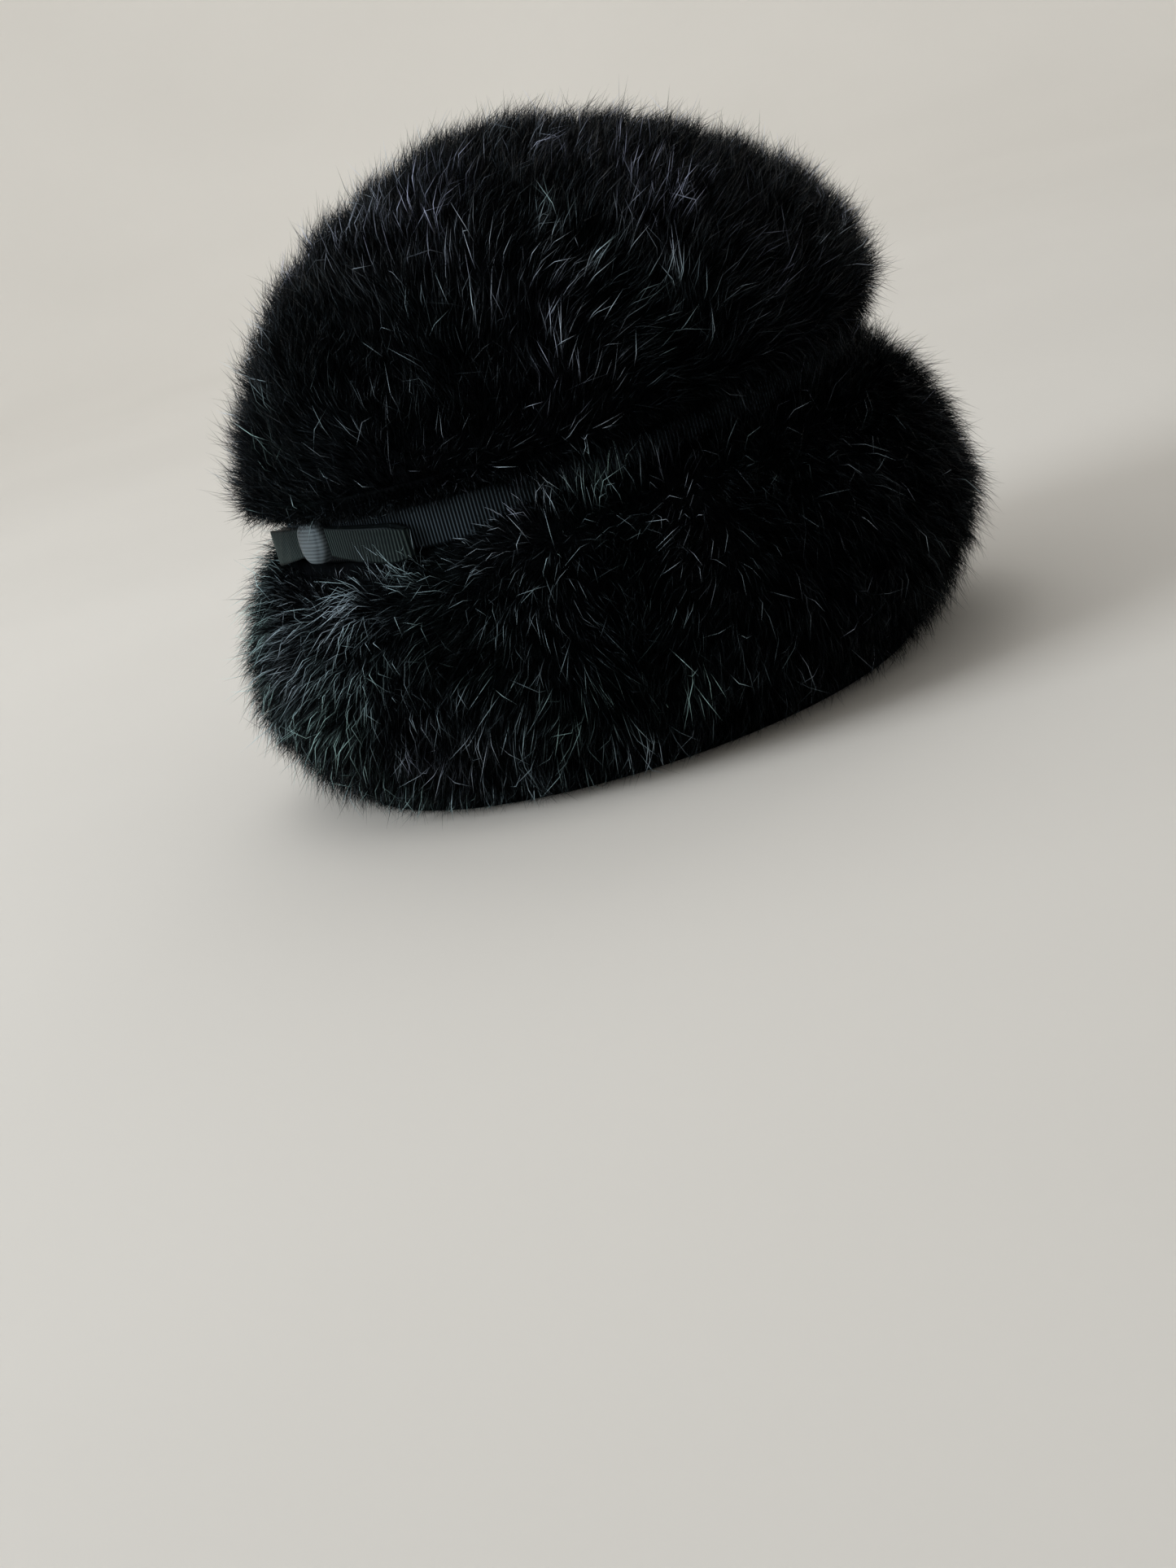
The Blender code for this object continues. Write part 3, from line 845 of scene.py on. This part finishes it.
# %% Strands as one mesh
SPIKE = np.array([[0, 2, 1], [0, 1, 3], [1, 2, 3], [2, 0, 3]])
SPIKE_SHARES = np.array([0.0] * 3 + [1.0])
BENT_SPIKE = np.array([[0, 2, 1], [0, 1, 4], [0, 4, 3], [1, 2, 5], [1, 5, 4], [2, 0, 3],
                       [2, 3, 5], [3, 4, 6], [4, 5, 6], [5, 3, 6]])
BENT_SHARES = np.array([0.0] * 3 + [0.5] * 3 + [1.0])


def strand_corners(place, direction, width, aside):
    """Three corners round a place, across the strand's direction."""
    side = unit(np.cross(direction, aside))
    other = np.cross(direction, side)
    turns = full_turn(3)[None, :, None]
    offset = side[:, None] * np.cos(turns) + other[:, None] * np.sin(turns)
    return place[:, None] + offset * (width / 2)[:, None, None]


def make_strands(name, strands, bent, material, seed):
    """One mesh of closed strands: a base, one or two rings of three corners, and a tip each."""
    root, joint, tip, width, tone = strands
    aside = np.random.default_rng(seed).normal(size=root.shape)
    rings = [strand_corners(root, unit((joint if bent else tip) - root), width, aside)]
    if bent:
        rings.append(strand_corners(joint, unit(tip - root), width * 0.85, aside))
    points = np.concatenate(rings + [tip[:, None]], axis=1)
    points[..., 2] = np.maximum(points[..., 2], FLOOR_CLEARANCE / 2)
    pattern, shares = (BENT_SPIKE, BENT_SHARES) if bent else (SPIKE, SPIKE_SHARES)
    faces = (np.arange(len(root)) * points.shape[1])[:, None, None] + pattern
    piece = fill_mesh(name, points.reshape(-1, 3), [faces.reshape(-1, 3)], [material])
    uv = np.stack(np.broadcast_arrays(tone[:, None], shares[pattern.ravel()]), axis=-1)
    layer = piece.data.uv_layers.new(name=STRAND_MAP)
    layer.uv.foreach_set("vector", uv.astype(np.float32).ravel())
    return piece


# %% Grow the coat
# The sheen column is the painted light and shade added to each strand's tone.
Growth = namedtuple("Growth", "name count coat seed comb length density sheen")
CROWN_WAYS = (crown_comb, crown_length, full, crown_painted_light)
BRIM_WAYS = (brim_comb, brim_length, full, brim_painted_light)
GROWTHS = (
    Growth("crown_under_fur_a", 32500, UNDER_FUR, 11, *CROWN_WAYS),
    Growth("crown_under_fur_b", 32500, UNDER_FUR, 18, *CROWN_WAYS),
    Growth("brim_under_fur_a", 34000, UNDER_FUR, 25, *BRIM_WAYS),
    Growth("brim_under_fur_b", 34000, UNDER_FUR, 32, *BRIM_WAYS),
    Growth("crown_guard_hair", 14000, GUARD_HAIR, 41, *CROWN_WAYS),
    Growth("brim_guard_hair", 14500, GUARD_HAIR, 48, *BRIM_WAYS),
    Growth("crown_stray_hair", 700, STRAY_HAIR, 55,
           crown_comb, crown_length, full, pale_tone_and_painted_light),
    Growth("brim_stray_hair", 900, STRAY_HAIR, 62,
           brim_comb, brim_length, full, pale_tone_and_painted_light),
    Growth("brim_tuft_below_bow", 75, PALE_TUFT, 69,
           falling_comb, full, below_bow, pale_tone_and_painted_light),
    Growth("brim_tangle_at_bow", 75, STRAY_HAIR, 76,
           rising_comb, full, round_bow_end, pale_tone_and_painted_light),
)

for growth in GROWTHS:
    node = growth.name.split("_")[0]
    skin = crown_skin if node == "crown" else brim_skin
    strands = grow(skin, growth.count, growth.coat, growth.seed, growth.comb, growth.length,
                   growth.density, growth.sheen)
    look = guard_hair_look if growth.coat.bent else under_fur_look
    hair = make_strands(growth.name, strands, growth.coat.bent, look, growth.seed + 1)
    dress(hair, "fur", node)

# %% [markdown]
# The ribbon is grosgrain: fine ribs across its length, a firm edge on each side, and a soft
# satin sheen. The ribs are modelled as a wave of the ribbon's face, because they show as
# stripes in the photograph. Each point also carries how high it stands on its rib, in an
# attribute, and the furrows between ribs are painted darker than their backs, as painted shade.

# %% Ribbon material
# The rib attribute drives painted shade: darker in the furrows between ribs.
RIB_PAINTED_SHADE = "rib_height"
FURROW_TO_BACK = (0.50, 1.0)
DYE_SCALE = 70.0
DYE_RANGE = (0.3, 0.7, 0.7, 1.25)
THREAD_SCALE = 2600.0
RIBBON_GLOSS_TINT = (0.66, 0.84, 1.0, 1.0)


def make_ribbon_thread():
    """Colour from furrow to back by the rib's height, painted shade in the furrows, times uneven
    dye; and fine threads.
    """
    group, given, result = new_group("ribbon thread", {"Furrow": COLOR, "Back": COLOR},
                                     {"Color": COLOR, "Thread": FLOAT})
    place = object_place(group)
    rib = add(group, "ShaderNodeAttribute", {}, attribute_name=RIB_PAINTED_SHADE)["Fac"]
    colours = {0: map_range(group, rib, *FURROW_TO_BACK), 6: given["Furrow"], 7: given["Back"]}
    mixed = add(group, "ShaderNodeMix", colours, data_type="RGBA")[2]
    dye = map_range(group, noise(group, place, DYE_SCALE, 3.0), *DYE_RANGE)
    feed(group, result, {"Color": scaled(group, mixed, dye),
                         "Thread": noise(group, place, THREAD_SCALE, 1.0)})
    return group


ribbon_thread = make_ribbon_thread()


def make_ribbon_material(name, furrow, back, roughness):
    """The ribbon's threads with this piece's own furrow and back colours."""
    material, tree, shader = new_material(name)
    threads = add(tree, "ShaderNodeGroup", {"Furrow": (*furrow, 1.0), "Back": (*back, 1.0)},
                  node_tree=ribbon_thread)
    feed(tree, shader, {"Base Color": threads["Color"],
                        "Normal": bumped(tree, threads["Thread"], strength=0.35,
                                         distance=0.0002),
                        "Roughness": roughness, "Specular IOR Level": 0.08,
                        "Specular Tint": RIBBON_GLOSS_TINT})
    return material


# One ribbon in three copies, with painted light and shade: the knot painted brighter, where it
# catches the window, and the loops darker than the band.
ribbon_look = make_ribbon_material("ribbon", (0.0006, 0.0008, 0.0012), (0.070, 0.098, 0.122), 0.5)
painted_shade_loop_look = make_ribbon_material("bow_loop", (0.003, 0.005, 0.005), (0.038, 0.055, 0.053), 0.5)
painted_lit_knot_look = make_ribbon_material("bow_knot", (0.014, 0.018, 0.021), (0.120, 0.148, 0.166), 0.42)
print("ribbon materials:", ribbon_look.name, painted_shade_loop_look.name, painted_lit_knot_look.name)


def mark_painted_rib_shade(piece, rib_shade_values):
    """Keep each point's height on its rib as painted shade, 0 in a furrow and 1 on a back."""
    layer = piece.data.attributes.new(RIB_PAINTED_SHADE, "FLOAT", "POINT")
    layer.data.foreach_set("value", rib_shade_values.astype(np.float32).ravel())


# %% Ribbon band
RIB_PITCH = 0.0012
RIB_DEPTH = 0.00040
STEPS_PER_RIB = 4


def rib_wave(way, pitch):
    """0 in a furrow and 1 on a back, by the cosine of the way."""
    return 0.5 + 0.5 * np.cos(2 * np.pi * way / pitch)


def make_ribbon_band():
    """Ring section: ribbed outer face with smooth edges, and a plain inner face."""
    ribs = round(2 * np.pi * NECK_RADIUS / RIB_PITCH)
    step = np.arange(ribs * STEPS_PER_RIB)
    angle = full_turn(len(step))
    wave = rib_wave(step, STEPS_PER_RIB)
    inner = NECK_WALL + CLEARANCE
    outer = inner + RIBBON_THICKNESS - RIB_DEPTH
    bottom = crease_height(angle) - SEAT_DEPTH + CLEARANCE
    top = crease_height(angle) + NECK_RISE
    rings, rib_shade_values = [], []
    for share, ribbed in ((0.0, 0.3), (0.06, 0.4), (0.10, 1.0), (0.90, 1.0), (0.94, 0.4),
                          (1.0, 0.3)):
        height = bottom + (top - bottom) * share
        rings.append(oval(angle, outer + RIB_DEPTH * wave * ribbed, height))
        # Painted shade: lower in the furrows, even at the edges.
        rib_shade_values.append(0.35 + (wave - 0.35) * ribbed)
    rings += [oval(angle, inner, top), oval(angle, inner, bottom)]
    rib_shade_values += [np.full(len(step), 0.4)] * 2
    rows = np.array(rings)
    quads = grid_quads(len(rows), len(angle), True)
    print("ribs round the band:", ribs)
    piece = fill_mesh("ribbon", rows.reshape(-1, 3), [quads], [ribbon_look])
    mark_painted_rib_shade(piece, np.array(rib_shade_values))
    return piece


ribbon_band = make_ribbon_band()
dress(ribbon_band, "ribbon", "ribbon_band")
girth_angle = np.linspace(0, 2 * np.pi, 721)
girth_step = np.diff(oval(girth_angle, NECK_WALL + CLEARANCE, 0.0), axis=0)

# %% [markdown]
# The bow. The knot is a short wrap of the same ribbon with a few soft pleats, drawn in at its
# upper and lower end; its faint ribs and the dark of its pleats' creases are painted shade. Each
# loop is a flat ribbon that leaves the knot along the band, turns back in a soft fold and returns
# to the knot. Its ribs run across it, and it sags and narrows a little towards its fold.

# %% Bow knot
KNOT_WIDTH = 0.015
KNOT_HEIGHT = 0.0135
KNOT_DEPTH = 0.0065
KNOT_GRID = (64, 49)
KNOT_PINCH = 0.18
PLEAT_DEPTH = 0.045
BOW_CENTRE_RISE = 0.0025
BOW_BACK = NECK_WALL + 2 * CLEARANCE + RIBBON_THICKNESS


def bow_point(along, standoff, rise):
    """A point by its way along the band from the middle of the back, outwards and up."""
    angle = np.pi + along / NECK_RADIUS
    return oval(angle, standoff, crease_height(angle) + BOW_CENTRE_RISE + rise)


def soft(value, power):
    """Signed power: a sine pulled towards a box."""
    return np.sign(value) * np.abs(value) ** power


def make_knot():
    """Superellipsoid of ribbon: soft pleats that fan from its middle, drawn in at both ends."""
    columns, rows = KNOT_GRID
    turn = full_turn(columns)[None, :]
    lift = ((np.arange(1, rows + 1) / (rows + 1) - 0.5) * np.pi)[:, None]
    flat = soft(np.cos(lift), 0.40)
    pinch = 1 - KNOT_PINCH * np.sin(lift) ** 2
    crease = np.abs(np.cos(3 * turn + 0.9 * np.sin(lift))) ** 8
    pleat = 1 - PLEAT_DEPTH * crease * (0.25 + 0.75 * np.sin(lift) ** 2)
    along = KNOT_WIDTH / 2 * soft(np.cos(turn), 0.55) * flat * pinch * pleat
    middle = BOW_BACK + KNOT_DEPTH / 2
    standoff = middle + KNOT_DEPTH / 2 * soft(np.sin(turn), 0.60) * flat * pleat
    rise = KNOT_HEIGHT / 2 * soft(np.sin(lift), 0.8) * np.ones_like(turn)
    rings = bow_point(along, standoff, rise)[:, ::-1]
    quads = grid_quads(rows, columns, False)
    poles = np.array([bow_point(0.0, middle, -KNOT_HEIGHT / 2),
                      bow_point(0.0, middle, KNOT_HEIGHT / 2)])
    points = np.concatenate([rings.reshape(-1, 3), poles])
    piece = fill_mesh("knot", points, [quads, *pole_fans(rows, columns)], [painted_lit_knot_look])
    # Painted shade: faint rib stripes across the knot and darker pleat creases.
    rib_shade_values = (0.66 + 0.34 * rib_wave(rise, RIB_PITCH) - 0.12 * crease)[:, ::-1]
    mark_painted_rib_shade(piece, np.append(rib_shade_values.ravel(), [0.5, 0.5]))
    return piece


# %% Bow loops
LOOP_REACH = 0.042
LOOP_WIDTH = 0.012
LOOP_DEPTH = 0.0055
LOOP_MOUTH = 0.0016
LOOP_DROOP = 0.0042
LOOP_LEAN = 0.001
FOLD_ROUNDNESS = 1.5
LOOP_RIB_SLANT = 0.55
FOLD_NARROWING = 0.20
LOOP_STEPS = 321


def make_loop(name, side):
    """The ribbon's section carried along the loop's path, with slanting ribs across it."""
    swing = np.linspace(0, 2 * np.pi, LOOP_STEPS)
    reach = 1 - ((1 + np.cos(swing)) / 2) ** FOLD_ROUNDNESS
    layer = np.where(swing < np.pi, -1.0, 1.0)
    mouth = LOOP_MOUTH / 2 * (1 - reach) * layer
    belly = -(LOOP_DEPTH - RIBBON_THICKNESS) / 2 * np.sin(swing) * reach ** 0.7
    start = KNOT_WIDTH / 2 + CLEARANCE
    along = start + (LOOP_REACH - start - RIBBON_THICKNESS / 2) * reach
    standoff = BOW_BACK + LOOP_DEPTH / 2 + mouth + belly + LOOP_LEAN * reach
    step_along, step_out = np.gradient(along), np.gradient(standoff)
    length = np.hypot(step_along, step_out)
    travelled = np.concatenate([[0], np.cumsum(np.hypot(np.diff(along), np.diff(standoff)))])
    half_width = LOOP_WIDTH / 2 * (0.78 + 0.22 * np.sin(reach * np.pi / 2))
    half_width *= 1 - FOLD_NARROWING * smooth_step(reach, 0.80, 1.0)
    section = [(1, edge, 1.0) for edge in (-1, -0.86, -0.43, 0, 0.43, 0.86, 1)]
    section += [(-1, edge, 0.0) for edge in (1, 0, -1)]
    rows, rib_shade_values = [], []
    for face, edge, ribbed in section:
        wave = rib_wave(travelled + LOOP_RIB_SLANT * edge * half_width, RIB_PITCH)
        ribbed = ribbed * (0.3 if abs(edge) == 1 else 1.0)
        thick = RIBBON_THICKNESS / 2 - RIB_DEPTH * 0.8 * ribbed * (1 - wave)
        corner_along = along + face * thick * step_out / length
        corner_out = standoff - face * thick * step_along / length
        rise = edge * half_width - LOOP_DROOP * reach
        rows.append(bow_point(side * corner_along, corner_out, rise))
        # Painted shade: lower in the furrows between ribs.
        rib_shade_values.append(0.4 + (wave - 0.4) * ribbed)
    stations = np.array(rows).transpose(1, 0, 2)
    rib_shade_values = np.array(rib_shade_values).T
    if side < 0:
        stations, rib_shade_values = stations[:, ::-1], rib_shade_values[:, ::-1]
    count, columns = stations.shape[:2]
    quads = grid_quads(count, columns, False)
    first_cap = np.arange(columns)[::-1][None]
    last_cap = ((count - 1) * columns + np.arange(columns))[None]
    piece = fill_mesh(name, stations.reshape(-1, 3), [quads, first_cap, last_cap], [painted_shade_loop_look])
    mark_painted_rib_shade(piece, rib_shade_values)
    return piece


knot = make_knot()
dress(knot, "ribbon", "bow_knot")
loop_right = make_loop("loop_right", 1)
dress(loop_right, "ribbon", "bow_loop_right")
loop_left = make_loop("loop_left", -1)
dress(loop_left, "ribbon", "bow_loop_left")

# %% [markdown]
# The stage: a pale round floor that curves up into a wall, so that no horizon shows behind the
# hat, whatever way the camera is turned. Its profile is turned about the Z axis.

# %% Stage
FLOOR_RADIUS = 1.7
BEND_RADIUS = 1.1
WALL_HEIGHT = 1.6
STAGE_COLUMNS = 96
PAPER_TONES = [(0.3, (0.665, 0.645, 0.61)), (0.7, (0.69, 0.67, 0.635))]


def make_stage():
    """Profile turned about Z: flat floor, a quarter circle, and a low wall."""
    swing = np.linspace(0, np.pi / 2, 16)
    radius = np.concatenate([np.linspace(0.02, FLOOR_RADIUS, 12),
                             FLOOR_RADIUS + BEND_RADIUS * np.sin(swing[1:]),
                             [FLOOR_RADIUS + BEND_RADIUS]])
    height = np.concatenate([np.zeros(12), BEND_RADIUS * (1 - np.cos(swing[1:])),
                             [BEND_RADIUS + WALL_HEIGHT]])
    turn = full_turn(STAGE_COLUMNS)[None, :]
    points = np.stack(np.broadcast_arrays(radius[:, None] * np.cos(turn),
                                          radius[:, None] * np.sin(turn),
                                          height[:, None]), axis=-1)
    quads = grid_quads(len(radius), STAGE_COLUMNS, False)[:, ::-1]
    cap = np.arange(STAGE_COLUMNS)[None]
    material, tree, shader = new_material("paper")
    grain = noise(tree, object_place(tree), 3.0, 2.0)
    feed(tree, shader, {"Base Color": ramp(tree, grain, PAPER_TONES), "Roughness": 0.9})
    return fill_mesh("floor", points.reshape(-1, 3), [quads, cap], [material])


floor = make_stage()

# %% [markdown]
# The camera has the photograph's angle to the hat: from its right and well behind it, a little
# above the rim's plane, and rolled, because the photograph shows the hat tilted. The hat fills
# the upper part of the frame, so the camera is turned until the hat's middle is on its pixel.

# %% Camera
FRAME_WIDTH, FRAME_HEIGHT = 1445, 1927
AZIMUTH, ELEVATION, ROLL = map(math.radians, (-126.0, 8.0, -15.77))
DISTANCE = 0.9
FOCAL_PIXELS = 3214.0
TARGET = Vector((0.0, FRONT_MORE, 0.1))
SENSOR_WIDTH = 36.0
TARGET_PIXEL = (695.15, 517.74)


def make_camera():
    """Look at the target, roll, then turn by the smallest angle that moves it to its pixel."""
    back = Vector((math.sin(AZIMUTH) * math.cos(ELEVATION),
                   -math.cos(AZIMUTH) * math.cos(ELEVATION), math.sin(ELEVATION)))
    right = (-back).cross(Vector((0, 0, 1))).normalized()
    up = right.cross(-back)
    rolled_right = right * math.cos(ROLL) + up * math.sin(ROLL)
    rolled_up = up * math.cos(ROLL) - right * math.sin(ROLL)
    look = Matrix((rolled_right, rolled_up, back)).transposed()
    wanted = Vector(((TARGET_PIXEL[0] - FRAME_WIDTH / 2) / FOCAL_PIXELS,
                     -(TARGET_PIXEL[1] - FRAME_HEIGHT / 2) / FOCAL_PIXELS, -1)).normalized()
    turn = wanted.rotation_difference(Vector((0, 0, -1))).to_matrix()
    camera = bpy.data.objects.new("camera", bpy.data.cameras.new("camera"))
    bpy.context.collection.objects.link(camera)
    camera.matrix_world = Matrix.Translation(TARGET + back * DISTANCE) @ (look @ turn).to_4x4()
    camera.data.sensor_width = SENSOR_WIDTH
    camera.data.lens = FOCAL_PIXELS * SENSOR_WIDTH / FRAME_HEIGHT
    camera.data.clip_start, camera.data.clip_end = 0.05, 20.0
    bpy.context.scene.camera = camera
    return camera, right, back


camera, view_right, view_back = make_camera()
print("camera at", [round(v, 3) for v in camera.location], "lens", round(camera.data.lens, 2))

# %% [markdown]
# The light is a large soft window on the left of the picture, a weak fill on the right, a lamp
# over the paper behind the hat, a weak one from above and a faint even sky. Black hair shows
# only what it reflects, so the window's size and place make the sheen on the crown's back and
# on the brim under the bow, along with the light and shade painted into the strands' tones.

# %% Lights
def make_softbox(name, direction, distance, size, power, colour):
    """A square area light that faces the middle of the hat."""
    data = bpy.data.lights.new(name, "AREA")
    data.shape = "SQUARE"
    data.size = size
    data.energy = power
    data.color = colour
    lamp = bpy.data.objects.new(name, data)
    bpy.context.collection.objects.link(lamp)
    lamp.location = TARGET + direction.normalized() * distance
    lamp.rotation_euler = direction.to_track_quat("Z", "Y").to_euler()
    return lamp


def level(direction):
    """A direction without its height."""
    return Vector((direction.x, direction.y, 0)).normalized()


right, back, up = level(view_right), level(view_back), Vector((0, 0, 1))
Lamp = namedtuple("Lamp", "name direction distance size power colour")
LAMPS = (
    Lamp("window", -right + back * 0.30 + up * 0.48, 2.2, 1.2, 36.0, (0.93, 0.97, 1.0)),
    Lamp("fill", right * 0.8 + back + up * 0.9, 1.5, 1.0, 0.3, (1.0, 0.98, 0.95)),
    Lamp("backlight", up * 2.2 - back * 2.1, 2.9, 2.0, 20.0, (1.0, 0.99, 0.96)),
    Lamp("top", up - right * 0.3, 1.4, 0.9, 2.5, (1.0, 1.0, 1.0)),
)
lamps = {lamp.name: make_softbox(*lamp) for lamp in LAMPS}
lamps["backlight"].rotation_euler = (0.0, 0.0, 0.0)  # it faces straight down

world = bpy.data.worlds.new("sky")
world.use_nodes = True
feed(world.node_tree, world.node_tree.nodes["Background"],
     {"Color": (1.0, 0.985, 0.96, 1.0), "Strength": 0.42})
bpy.context.scene.world = world
bpy.context.scene.view_settings.view_transform = "Standard"
print("lights:", *lamps)
